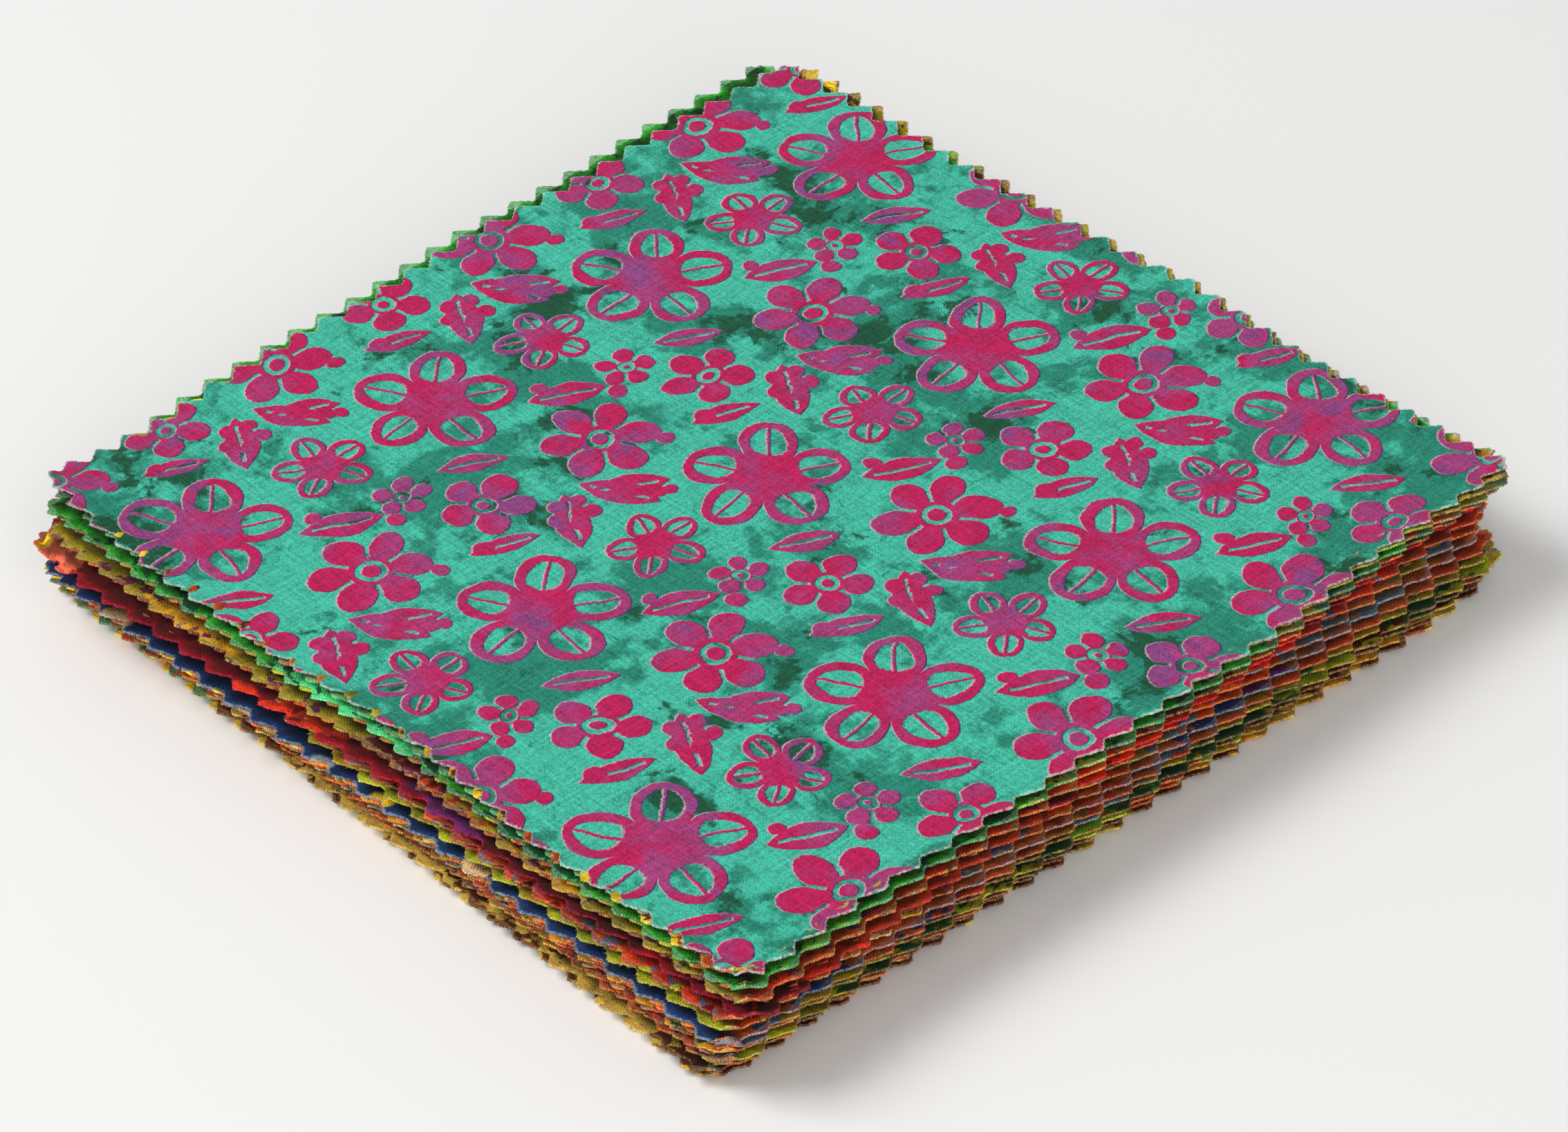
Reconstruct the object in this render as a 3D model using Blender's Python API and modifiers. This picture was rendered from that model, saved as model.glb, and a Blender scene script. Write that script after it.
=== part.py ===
"""A stack of pinked cotton squares, lying as it was put down.

The squares are thin, so each solid leaf here stands for the three or four squares
whose teeth line up. Every leaf is a sheet with a zigzag cut edge, moved and turned
a little on the one below it. Metres, +Z up, origin under the middle of the stack.
"""
import math
from collections import namedtuple

import bmesh
import bpy

# Size of a square, tooth tip to tooth tip
SIDE = 0.127
HALF = SIDE / 2

# The pinked edge: right-angled teeth, a whole number of them on each side
TEETH = 27
TOOTH_PITCH = SIDE / TEETH
TOOTH_DEPTH = 0.0022
CORNER_CUT = 0.45 * TOOTH_DEPTH
CORNER_FADE = 0.9 * TOOTH_PITCH
ON_EDGE = 0.1 * TOOTH_PITCH

# The pile: leaf thickness and the air between two leaves
LEAF_THICKNESS = 0.001
LEAF_GAP = 0.0003
LEAF_STEP = LEAF_THICKNESS + LEAF_GAP

# Loose edges: the higher a leaf lies, the more its rim stands off the flat middle
RIM_LIFT = 0.00055
FLAT_SHARE = 1 / 3
LIFT_MEAN = 0.55
LiftWave = namedtuple("LiftWave", "share waves_round phase")
LIFT_WAVES = [LiftWave(0.25, 3, 0.6), LiftWave(0.20, 5, 2.0)]

# Two corners of the top leaf curl up, and corners of other leaves are drawn in
CURL_REACH = 0.026
LEFT_CURL = 0.0034
RIGHT_CURL = 0.0024
DRAW_REACH = 0.016

# A leaf is a grid of cells; the flat-lying ones need few, the curled one more
CELLS = 3
CURLED_CELLS = 9

MM = 0.001

# Bottom leaf first. Shifts and draws in millimetres, turn in degrees, teeth 0 for a
# valley and 1 for a tip at the corners, draws: how far two corners are pulled in.
Leaf = namedtuple("Leaf", "name shift_x shift_y turn teeth left_draw right_draw colour")
LEAVES = [
    Leaf("leaf_01_mustard", -0.9, -1.0, -1.7, 1, 0.0, 2.0, (0.50, 0.32, 0.07)),
    Leaf("leaf_02_slate", -0.5, -0.9, -1.2, 0, 0.3, 0.6, (0.13, 0.19, 0.24)),
    Leaf("leaf_03_maroon", 0.2, -1.3, -0.9, 1, 0.2, 0.0, (0.13, 0.02, 0.03)),
    Leaf("leaf_04_lime", -0.2, -1.7, -0.7, 0, 0.8, 0.4, (0.34, 0.40, 0.04)),
    Leaf("leaf_05_rust", 0.3, -1.9, -0.3, 1, 1.4, 1.0, (0.36, 0.11, 0.03)),
    Leaf("leaf_06_navy", -0.6, -2.8, 0.1, 1, 1.8, 1.4, (0.03, 0.06, 0.15)),
    Leaf("leaf_07_fern", -0.3, -1.9, 0.4, 0, 1.6, 1.0, (0.22, 0.30, 0.05)),
    Leaf("leaf_08_orange", -0.5, -2.3, 1.1, 1, 1.6, 0.6, (0.60, 0.13, 0.03)),
    Leaf("leaf_09_crimson", 0.2, -3.0, 1.8, 0, 1.8, 0.0, (0.19, 0.005, 0.015)),
    Leaf("leaf_10_olive", -0.2, -0.8, 0.2, 0, 3.0, 0.2, (0.30, 0.22, 0.03)),
    Leaf("leaf_11_green", 0.2, -0.5, 0.1, 1, 1.7, 0.0, (0.03, 0.20, 0.06)),
    Leaf("leaf_12_teal", 0.0, 0.0, 0.0, 0, 2.2, 0.0, (0.06, 0.50, 0.37)),
]
CLOTH_ROUGHNESS = 0.9


def clear_scene():
    for item in list(bpy.data.objects):
        bpy.data.objects.remove(item, do_unlink=True)


def clamp(value):
    return min(1.0, max(0.0, value))


def cotton(name, colour):
    material = bpy.data.materials.new(name + "_cotton")
    material.use_nodes = True
    shader = material.node_tree.nodes["Principled BSDF"]
    shader.inputs["Base Color"].default_value = (*colour, 1.0)
    shader.inputs["Roughness"].default_value = CLOTH_ROUGHNESS
    shader.inputs["Metallic"].default_value = 0.0
    return material


def pinked(x, y, teeth):
    """Move a point of the plain square's edge to its tooth tip or valley."""
    on_left_or_right = HALF - abs(x) < ON_EDGE
    on_front_or_back = HALF - abs(y) < ON_EDGE
    if on_left_or_right and on_front_or_back:
        return x - math.copysign(CORNER_CUT, x), y - math.copysign(CORNER_CUT, y)
    along = y if on_left_or_right else x
    half_pitches = round((along + HALF) / (TOOTH_PITCH / 2))
    if half_pitches % 2 != teeth:
        return x, y
    inset = TOOTH_DEPTH * clamp((HALF - abs(along)) / CORNER_FADE)
    if on_left_or_right:
        return x - math.copysign(inset, x), y
    return x, y - math.copysign(inset, y)


def nearness(x, y, corner, reach):
    """1 at a corner of the square, falling smoothly to 0 at the reach."""
    return clamp(1 - math.dist((x, y), (corner[0] * HALF, corner[1] * HALF)) / reach) ** 2


def drawn_in(x, y, leaf):
    """Pull the left and right corners towards the middle."""
    for corner, draw in (((-1, -1), leaf.left_draw), ((1, 1), leaf.right_draw)):
        pull = draw * MM * nearness(x, y, corner, DRAW_REACH) / math.sqrt(2)
        x -= corner[0] * pull
        y -= corner[1] * pull
    return x, y


def rim_lift(x, y):
    """How far the rim of the highest leaf stands off, uneven round the square."""
    outward = clamp((max(abs(x), abs(y)) / HALF - FLAT_SHARE) / (1 - FLAT_SHARE))
    around = math.atan2(y, x)
    uneven = LIFT_MEAN
    for wave in LIFT_WAVES:
        uneven += wave.share * math.sin(wave.waves_round * around + wave.phase)
    return RIM_LIFT * outward * uneven


def leaf_mesh(leaf, level):
    """A grid whose edge points become teeth, lifted at the rim; thickness comes later."""
    is_top = level == len(LEAVES) - 1
    cells = CURLED_CELLS if is_top else CELLS
    bm = bmesh.new()
    bmesh.ops.create_grid(bm, x_segments=cells, y_segments=cells, size=HALF)
    rim = [edge for edge in bm.edges if edge.is_boundary]
    bmesh.ops.bisect_edges(bm, edges=rim, cuts=2 * TEETH // cells - 1)
    for vert in bm.verts:
        if vert.is_boundary:
            vert.co.x, vert.co.y = pinked(vert.co.x, vert.co.y, leaf.teeth)
    bmesh.ops.triangulate(bm, faces=bm.faces[:])

    height = level * LEAF_STEP + LEAF_THICKNESS
    share = level / (len(LEAVES) - 1)
    turn = math.radians(leaf.turn)
    for vert in bm.verts:
        curl = 0.0
        if is_top:
            curl += LEFT_CURL * nearness(vert.co.x, vert.co.y, (-1, -1), CURL_REACH)
            curl += RIGHT_CURL * nearness(vert.co.x, vert.co.y, (1, 1), CURL_REACH)
        x, y = drawn_in(vert.co.x, vert.co.y, leaf)
        vert.co.x = x * math.cos(turn) - y * math.sin(turn) + leaf.shift_x * MM
        vert.co.y = x * math.sin(turn) + y * math.cos(turn) + leaf.shift_y * MM
        vert.co.z = height + share * rim_lift(vert.co.x, vert.co.y) + curl

    mesh = bpy.data.meshes.new(leaf.name)
    bm.to_mesh(mesh)
    bm.free()
    return mesh


def add_leaf(leaf, level, collection):
    mesh = leaf_mesh(leaf, level)
    mesh.materials.append(cotton(leaf.name, leaf.colour))
    item = bpy.data.objects.new(leaf.name, mesh)
    collection.objects.link(item)
    solid = item.modifiers.new("thickness", "SOLIDIFY")
    solid.thickness = LEAF_THICKNESS
    solid.offset = -1.0
    return item


def centre_on_origin(items):
    """Put the middle of the whole stack's outline over the origin."""
    points = [vert.co for item in items for vert in item.data.vertices]
    middle_x = (min(p.x for p in points) + max(p.x for p in points)) / 2
    middle_y = (min(p.y for p in points) + max(p.y for p in points)) / 2
    for item in items:
        item.location = (-middle_x, -middle_y, 0.0)


def build_stack():
    clear_scene()
    collection = bpy.data.collections.new("stack_of_fabric_squares")
    bpy.context.scene.collection.children.link(collection)
    items = [add_leaf(leaf, level, collection) for level, leaf in enumerate(LEAVES)]
    centre_on_origin(items)


build_stack()
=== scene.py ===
"""A pile of twenty-five pinked cotton quilting squares, lying on a pale floor.

The pile is laid from the bottom up, one group of squares after the other, as in the
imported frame. Metres, +Z up.
"""
import math
from collections import namedtuple

import bmesh
import bpy
import numpy as np
from mathutils import Matrix, Vector


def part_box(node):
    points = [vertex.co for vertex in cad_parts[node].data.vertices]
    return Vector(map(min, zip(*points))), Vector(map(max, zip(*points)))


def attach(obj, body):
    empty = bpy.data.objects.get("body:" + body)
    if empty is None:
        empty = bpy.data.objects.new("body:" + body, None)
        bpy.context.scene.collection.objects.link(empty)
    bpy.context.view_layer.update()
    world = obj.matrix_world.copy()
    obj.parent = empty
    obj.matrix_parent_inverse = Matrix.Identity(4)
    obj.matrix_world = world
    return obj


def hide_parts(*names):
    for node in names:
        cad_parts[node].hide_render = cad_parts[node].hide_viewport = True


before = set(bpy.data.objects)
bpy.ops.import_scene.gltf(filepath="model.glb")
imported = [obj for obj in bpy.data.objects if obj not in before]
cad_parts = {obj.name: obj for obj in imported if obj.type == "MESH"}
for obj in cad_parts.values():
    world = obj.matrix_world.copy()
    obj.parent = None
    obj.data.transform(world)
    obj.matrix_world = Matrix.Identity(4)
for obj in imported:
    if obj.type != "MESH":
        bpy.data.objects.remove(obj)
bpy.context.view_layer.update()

# The camera stands off the front corner and looks down on the pile with a long lens. Its
# place was worked out from the tooth tips along the top square's four sides.
SIDE = 0.127
HALF = SIDE / 2
FLAT_TOP = 0.0153
AZIMUTH, ELEVATION, ROLL = 0.83409, 0.67204, -0.0406461
DISTANCE = 0.64944
AIM_X, AIM_Y = 0.01392, -0.01043
LENS, SENSOR = 126.984, 36.0
NEAREST = 0.01

teal_low, teal_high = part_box("leaf_12_teal")
top_centre = Vector((teal_high.x - HALF, teal_low.y + HALF, FLAT_TOP))

backward = Vector(
    (
        math.sin(AZIMUTH) * math.cos(ELEVATION),
        -math.cos(AZIMUTH) * math.cos(ELEVATION),
        math.sin(ELEVATION),
    )
)
level_right = Vector((math.cos(AZIMUTH), math.sin(AZIMUTH), 0.0))
level_up = backward.cross(level_right)
tilted_right = math.cos(ROLL) * level_right + math.sin(ROLL) * level_up
tilted_up = math.cos(ROLL) * level_up - math.sin(ROLL) * level_right
stand = top_centre + Vector((AIM_X, AIM_Y, 0.0)) + DISTANCE * backward
tilt = Matrix((tilted_right, tilted_up, backward)).transposed().to_4x4()

camera_data = bpy.data.cameras.new("camera")
camera_data.lens = LENS
camera_data.sensor_width = SENSOR
camera_data.clip_start = NEAREST
camera = bpy.data.objects.new("camera", camera_data)
camera.matrix_world = Matrix.Translation(stand) @ tilt
bpy.context.scene.collection.objects.link(camera)
bpy.context.scene.camera = camera


# The floor is a seamless sheet of pale paper, lit by two big soft boxes and a pale sky.
# The main box stands at the left of the camera, so the right side of the pile is darker.
FLOOR_SIZE = 6.0
FLOOR_PAPER = (0.93, 0.93, 0.92, 1.0)
PAPER_ROUGHNESS = 0.95
Light = namedtuple("Light", "name place size watts")
SOFT_BOXES = [
    Light("main_light", (-0.65, -0.70, 1.25), 0.8, 14.5),
    Light("fill_light", (1.1, -0.7, 0.75), 1.1, 9.0),
]
SKY_WHITE = (1.0, 1.0, 1.0, 1.0)
SKY_STRENGTH = 0.34


class Wire:
    """A socket of a material, so that sums on a pattern read as ordinary sums."""

    def __init__(self, socket):
        self.socket = socket

    def node(self, kind, settings, sockets, output=0):
        """Add a node: its settings first, then the value or the link of each socket."""
        tree = self.socket.id_data
        made = tree.nodes.new("ShaderNode" + kind)
        for key, value in settings.items():
            setattr(made, key, value)
        for key, value in sockets.items():
            if isinstance(value, Wire):
                tree.links.new(value.socket, made.inputs[key])
            else:
                made.inputs[key].default_value = value
        return Wire(made.outputs[output])

    def math(self, operation, *others):
        return self.node("Math", {"operation": operation}, dict(enumerate((self, *others))))

    def vector(self, operation, *others):
        settings = {"operation": operation}
        return self.node("VectorMath", settings, dict(enumerate((self, *others))))

    def __add__(self, other):
        return self.math("ADD", other)

    def __sub__(self, other):
        return self.math("SUBTRACT", other)

    def __rsub__(self, other):
        return self.math("MULTIPLY", -1.0).math("ADD", other)

    def __mul__(self, other):
        return self.math("MULTIPLY", other)

    def __truediv__(self, other):
        return self.math("DIVIDE", other)

    def __abs__(self):
        return self.math("ABSOLUTE")

    __radd__ = __add__
    __rmul__ = __mul__

    def ramp(self, start, end):
        """0 before the start, 1 past the end, smooth between them."""
        return self.node(
            "MapRange", {"interpolation_type": "SMOOTHSTEP"}, {0: self, 1: start, 2: end}
        )

    def blend(self, colour_at_0, colour_at_1):
        """This wire's value shares out two colours."""
        return self.node(
            "Mix", {"data_type": "RGBA"}, {0: self, 6: colour_at_0, 7: colour_at_1}, 2
        )

    def noise(self, size, detail=2.0, roughness=0.5, warp=0.0):
        """Cloudy values around 0.5, with blots of this size, on a vector wire."""
        sockets = {"Vector": self, "Scale": 1 / size, "Detail": detail}
        sockets.update({"Roughness": roughness, "Distortion": warp})
        return self.node("TexNoise", {}, sockets)

    def scaled(self, share):
        """A colour made darker or lighter by a wire."""
        return share.node("VectorMath", {"operation": "SCALE"}, {0: self, "Scale": share})

    def parts(self):
        """The x and y of a vector wire."""
        split = self.node("SeparateXYZ", {}, {0: self}).socket.node
        return Wire(split.outputs[0]), Wire(split.outputs[1])


def new_material(name):
    material = bpy.data.materials.new(name)
    material.use_nodes = True
    return material, material.node_tree.nodes["Principled BSDF"]


bpy.ops.object.select_all(action="DESELECT")
bpy.ops.mesh.primitive_plane_add(size=FLOOR_SIZE)
floor = bpy.context.object
floor.name = floor.data.name = "floor"
paper, paper_shader = new_material("pale_paper")
paper_shader.inputs["Base Color"].default_value = FLOOR_PAPER
paper_shader.inputs["Roughness"].default_value = PAPER_ROUGHNESS
paper_shader.inputs["Specular IOR Level"].default_value = 0.0
floor.data.materials.append(paper)

for box in SOFT_BOXES:
    lamp = bpy.data.lights.new(box.name, "AREA")
    lamp.size = box.size
    lamp.energy = box.watts
    holder = bpy.data.objects.new(box.name, lamp)
    holder.location = box.place
    holder.rotation_euler = (-Vector(box.place)).to_track_quat("-Z", "Y").to_euler()
    bpy.context.scene.collection.objects.link(holder)

sky = bpy.data.worlds.new("pale_sky")
sky.use_nodes = True
sky.node_tree.nodes["Background"].inputs["Color"].default_value = SKY_WHITE
sky.node_tree.nodes["Background"].inputs["Strength"].default_value = SKY_STRENGTH
bpy.context.scene.world = sky
bpy.context.scene.view_settings.view_transform = "Standard"


# The two bottom squares, ochre with sea green, red and rust. Like every square of the pile
# they are plain-weave cotton, die-cut with 27 teeth a side. The teeth of the front and right
# sides have bent up in handling, those of the other two sides lie flat.
MM = 0.001
LEAVES = 12
LEAF_STEP = 0.0013
LEAF_GAP = 0.0003
CLOTH = 0.00026
CELLS, RIM_CUTS = 27, 19

# The cut edge: how deep the teeth are, how far in their pull and their bend reach, how
# sharp and how frayed they are, and how blunt the corners
TEETH = 27
TOOTH_PITCH = SIDE / TEETH
TOOTH_DEPTH, FRONT_DEPTH = 0.0019, 0.00165
TOOTH_SHARPNESS = 0.93
PULL_REACH = 0.006
TOOTH_REACH = 0.0030
CORNER_FADE = 0.9 * TOOTH_PITCH
CORNER_CUT, CORNER_REACH = 0.0011, 0.0026
FRONT_RISE, RIGHT_RISE, BACK_RISE = 0.00090, 0.00115, 0.0001
FRONT_SPREAD, RIGHT_SPREAD = 0.0005, 0.0008
FRAY = 0.00011
ON_RIM = 1e-6
SQUEEZE, SQUEEZE_RUN = 0.4, 0.012

# The loose rim of the pile, higher in some places than in others
RIM_LIFT = 0.00055
FLAT_SHARE, LIFT_SLOPE = 1 / 3, 1.5
LIFT_MEAN = 0.55
LiftWave = namedtuple("LiftWave", "share waves_round phase")
LIFT_WAVES = [LiftWave(0.25, 3, 0.6), LiftWave(0.20, 5, 2.0)]
Ripple = namedtuple("Ripple", "share run_x phase_x run_y phase_y")
RIM_RIPPLE = Ripple(0.22, 0.0052, 1.3, 0.0061, 0.4)
TOOTH_RIPPLE = Ripple(0.3, 0.0037, 2.0, 0.0041, 0.0)

# How far the top square's four sides stray outwards, at even steps, in millimetres; the
# lower a square lies, the straighter it is. Corners curl, are drawn in and tucked.
WANDER_PLACES = np.linspace(-HALF, HALF, 15)
FRONT_WANDER = [0.0, -0.2, -0.2, 0.0, 0.0, 0.0, -0.4, -0.9, -0.9, -0.3, 0.6, 0.8, 0.2, 0.1, 0.0]
BACK_WANDER = [0.3, 0.1, 0.0, 0.0, 0.0, 0.0, 0.2, 0.7, 1.3, 0.4, -0.3, -0.4, -0.6, -0.8, -0.2]
LEFT_WANDER = [0.0, -2.2, -1.8, -0.5, -0.2, 0.3, 0.1, 0.5, 1.0, 0.4, 0.2, 0.2, 0.1, 0.0, 0.0]
RIGHT_WANDER = [0.0, -0.4, -0.6, -0.4, -0.1, 0.3, 0.4, 0.5, 0.8, 0.8, 0.3, -0.4, -0.7, -0.1, 0.0]
LEFT_CORNER, RIGHT_CORNER = (-1, -1), (1, 1)
CURL_REACH, DRAW_REACH, WANDER_REACH = 0.026, 0.016, 0.016
TUCK_RUN = 0.030

# A square: its shift in millimetres and turn in degrees; how far its left and right corners
# are drawn in and its left corner, front and left side tucked, in millimetres; where the
# first valley of its front and left side lies, in pitches; and the curl of its corners
Square = namedtuple(
    "Square",
    "name x y turn left_draw right_draw corner_tuck front left front_tuck side_tuck "
    "left_curl right_curl cells cuts",
    defaults=(0.5, 0.0, 0.0, 0.0, 0.0, CELLS, RIM_CUTS),
)
Cut = namedtuple("Cut", "x y from_side from_end side_valley end_valley outward")
Laid = namedtuple("Laid", "piece flat outward")

seeded = np.random.default_rng(42)
pile = []


def zigzag(along, phase):
    """0 at the tip of a tooth, 1 in a valley; the phase is the first valley's place."""
    swing = np.cos(2 * math.pi * ((along + HALF) / TOOTH_PITCH - phase))
    wave = 0.5 + 0.5 * np.arcsin(TOOTH_SHARPNESS * swing) / math.asin(TOOTH_SHARPNESS)
    return wave * np.clip((HALF - abs(along)) / CORNER_FADE, 0, 1)


def fade(away, reach):
    """1 at no distance, falling to 0 at the reach."""
    return np.clip(1 - away / reach, 0, 1)


def nearness(x, y, corner, reach):
    """1 at a corner of the square, falling smoothly to 0 at the reach."""
    return fade(np.hypot(x - corner[0] * HALF, y - corner[1] * HALF), reach) ** 2


def rippled(ripple, x, y, phase=0.0):
    """Low bumps side by side."""
    across = np.sin(x / ripple.run_x + ripple.phase_x)
    return ripple.share * across * np.sin(y / ripple.run_y + ripple.phase_y + phase)


def rim_lift(x, y):
    """How far the rim of the highest square stands off, uneven round the square."""
    out = np.clip((np.maximum(abs(x), abs(y)) / HALF - FLAT_SHARE) * LIFT_SLOPE, 0, 1)
    around = np.arctan2(y, x)
    uneven = LIFT_MEAN
    for wave in LIFT_WAVES:
        uneven = uneven + wave.share * np.sin(wave.waves_round * around + wave.phase)
    return RIM_LIFT * out * (uneven + rippled(RIM_RIPPLE, x, y))


def grid_of_cloth(square):
    """A flat square grid whose outline has enough points for the teeth."""
    bpy.ops.object.select_all(action="DESELECT")
    bpy.ops.mesh.primitive_grid_add(
        x_subdivisions=square.cells, y_subdivisions=square.cells, size=SIDE
    )
    piece = bpy.context.object
    piece.name = piece.data.name = square.name
    bm = bmesh.new()
    bm.from_mesh(piece.data)
    rim = [edge for edge in bm.edges if edge.is_boundary]
    bmesh.ops.bisect_edges(bm, edges=rim, cuts=square.cuts)
    bm.to_mesh(piece.data)
    bm.free()
    return piece


def points_of(mesh):
    places = np.empty(3 * len(mesh.vertices))
    mesh.vertices.foreach_get("co", places)
    return places.reshape(-1, 3)


def unwrap(mesh, flat):
    """Give the mesh the cloth's own flat places as its UV map, 0 to 1 across the square."""
    layer = mesh.uv_layers.get("UVMap") or mesh.uv_layers.new(name="UVMap")
    corners = np.empty(len(mesh.loops), dtype=np.int64)
    mesh.loops.foreach_get("vertex_index", corners)
    layer.data.foreach_set("uv", (flat[corners] / SIDE + 0.5).ravel())


def towards_rim(place, away):
    """Draw the inner rows of a coarse grid nearer to the rim, where the cloth bends."""
    return np.sign(place) * (HALF - away * (1 - SQUEEZE * np.exp(-away / SQUEEZE_RUN)))


def cut_teeth(piece, square):
    """Pink the flat cloth all round; its corners are blunt and its edge a little frayed.

    The right side's valleys stay in line from square to square, as they do in the pile.
    """
    points = points_of(piece.data)
    x, y = points[:, 0].copy(), points[:, 1].copy()
    from_side, from_end = HALF - abs(x), HALF - abs(y)
    on_rim = np.minimum(from_side, from_end) < ON_RIM
    if square.cells == CELLS:
        x = np.where(on_rim, x, towards_rim(x, from_side))
        y = np.where(on_rim, y, towards_rim(y, from_end))
        from_side, from_end = HALF - abs(x), HALF - abs(y)
    from_cut = piece.data.attributes.new("from_cut", "FLOAT", "POINT")
    from_cut.data.foreach_set("value", np.minimum(from_side, from_end) / MM)

    in_column = -(square.y * MM + HALF * math.sin(math.radians(square.turn))) / TOOTH_PITCH
    side_valley = zigzag(y, np.where(x < 0, square.left, in_column))
    end_valley = zigzag(x, np.where(y < 0, square.front, 0.0))
    fray = np.where(on_rim, seeded.uniform(-FRAY, FRAY, len(x)), 0.0)
    end_depth = np.where(y < 0, FRONT_DEPTH, TOOTH_DEPTH)
    pull_x = (side_valley * TOOTH_DEPTH + fray) * fade(from_side, PULL_REACH) ** 2
    pull_y = (end_valley * end_depth + fray) * fade(from_end, PULL_REACH) ** 2
    blunt = CORNER_CUT * fade(np.hypot(from_side, from_end), CORNER_REACH)
    nearer_side = from_side < from_end
    outward = np.stack([np.sign(x) * nearer_side, np.sign(y) * ~nearer_side], 1)
    outward[~on_rim] = 0.0
    x = x - np.sign(x) * (pull_x + blunt)
    y = y - np.sign(y) * (pull_y + blunt)
    return Cut(x, y, from_side, from_end, side_valley, end_valley, outward)


def bent_up(cut, layer, square, wrinkle):
    """How far the tips of the teeth, the curled corners and the creases rise."""
    bend_side = fade(cut.from_side, TOOTH_REACH) * (1 - cut.side_valley)
    bend_end = fade(cut.from_end, TOOTH_REACH) * (1 - cut.end_valley)
    rise = bend_side * np.where(cut.x > 0, RIGHT_RISE, 0.0)
    rise = rise + bend_end * np.where(cut.y < 0, FRONT_RISE, BACK_RISE)
    rise = rise * (1 + rippled(TOOTH_RIPPLE, cut.x, cut.y, layer))
    corners = ((LEFT_CORNER, square.left_curl), (RIGHT_CORNER, square.right_curl))
    for corner, curl in corners:
        rise = rise + curl * MM * nearness(cut.x, cut.y, corner, CURL_REACH)
    if wrinkle:
        rise = rise + wrinkle(cut.x, cut.y)
    return rise


def strayed(cut, share, square):
    """Let the sides wander, spread the bent teeth, tuck and draw in the corners."""
    x, y = cut.x, cut.y
    near_side = fade(cut.from_side, WANDER_REACH)
    near_end = fade(cut.from_end, WANDER_REACH)
    right, left = (np.interp(y, WANDER_PLACES, side) for side in (RIGHT_WANDER, LEFT_WANDER))
    back, front = (np.interp(x, WANDER_PLACES, side) for side in (BACK_WANDER, FRONT_WANDER))
    to_right, to_back = np.where(x > 0, right, -left), np.where(y > 0, back, -front)
    tuck_x = square.side_tuck * near_side * (x < 0)
    tuck_x = tuck_x + square.corner_tuck * nearness(x, y, LEFT_CORNER, DRAW_REACH)
    tuck_y = square.front_tuck * near_end * np.clip(-x / TUCK_RUN, 0, 1) * (y < 0)
    x = x + (to_right * near_side * share**2 + tuck_x) * MM
    y = y + (to_back * near_end * share**2 + tuck_y) * MM
    x = x + RIGHT_SPREAD * np.clip(x / HALF, 0, 1) ** 4
    y = y - FRONT_SPREAD * np.clip(-y / HALF, 0, 1) ** 4
    for corner, draw in ((LEFT_CORNER, square.left_draw), (RIGHT_CORNER, square.right_draw)):
        pull = draw * MM * nearness(x, y, corner, DRAW_REACH) / math.sqrt(2)
        x = x - corner[0] * pull
        y = y - corner[1] * pull
    return x, y


def lay_square(leaf, layer, square, cotton, wrinkle=None):
    """Cut one square and put it on the pile; its thickness and threads come later."""
    piece = grid_of_cloth(square)
    cut = cut_teeth(piece, square)
    flat = np.stack([cut.x, cut.y], 1)
    unwrap(piece.data, flat)

    share = max(0.0, (layer - 1) / (LEAVES - 1))
    x, y = strayed(cut, share, square)
    turn = math.radians(square.turn)
    far_x = x * math.cos(turn) - y * math.sin(turn) + square.x * MM
    far_y = x * math.sin(turn) + y * math.cos(turn) + square.y * MM
    height = layer * LEAF_STEP - LEAF_GAP + share * rim_lift(far_x, far_y)
    height = height + bent_up(cut, layer, square, wrinkle)
    places = np.stack([far_x + top_centre.x, far_y + top_centre.y, height], 1)
    piece.data.vertices.foreach_set("co", places.ravel())

    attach(piece, "root")
    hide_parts(leaf)
    piece.data.materials.append(cotton)
    pile.append(Laid(piece, flat, cut.outward))


def dye(red, green, blue):
    """A colour as it is seen on a screen, 0 to 255, as a shader colour."""
    parts = (red / 255, green / 255, blue / 255)
    linear = (((part + 0.055) / 1.055) ** 2.4 if part > 0.04 else part / 12.92 for part in parts)
    return (*linear, 1.0)


DYES = {
    "mint": dye(75, 215, 130),
    "green": dye(38, 150, 28),
    "dark_green": dye(10, 78, 38),
    "grass": dye(95, 165, 30),
    "lime": dye(165, 180, 25),
    "olive": dye(150, 130, 15),
    "gold": dye(205, 145, 15),
    "yellow": dye(245, 205, 15),
    "ochre": dye(205, 175, 70),
    "cream": dye(225, 185, 130),
    "orange": dye(245, 115, 20),
    "vermilion": dye(225, 52, 8),
    "salmon": dye(230, 110, 75),
    "red": dye(185, 22, 28),
    "crimson": dye(135, 4, 18),
    "pink": dye(200, 60, 90),
    "maroon": dye(85, 14, 16),
    "plum": dye(95, 30, 60),
    "purple": dye(110, 35, 105),
    "rust": dye(178, 58, 10),
    "copper": dye(185, 88, 35),
    "brown": dye(80, 36, 14),
    "navy": dye(28, 56, 108),
    "slate": dye(85, 110, 135),
    "sea": dye(50, 140, 105),
    "white": dye(225, 225, 215),
    "pale_mint": dye(170, 220, 180),
    "pale_blue": dye(165, 185, 195),
    "pale_gold": dye(235, 205, 130),
    "pale_rust": dye(240, 165, 130),
}

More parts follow.
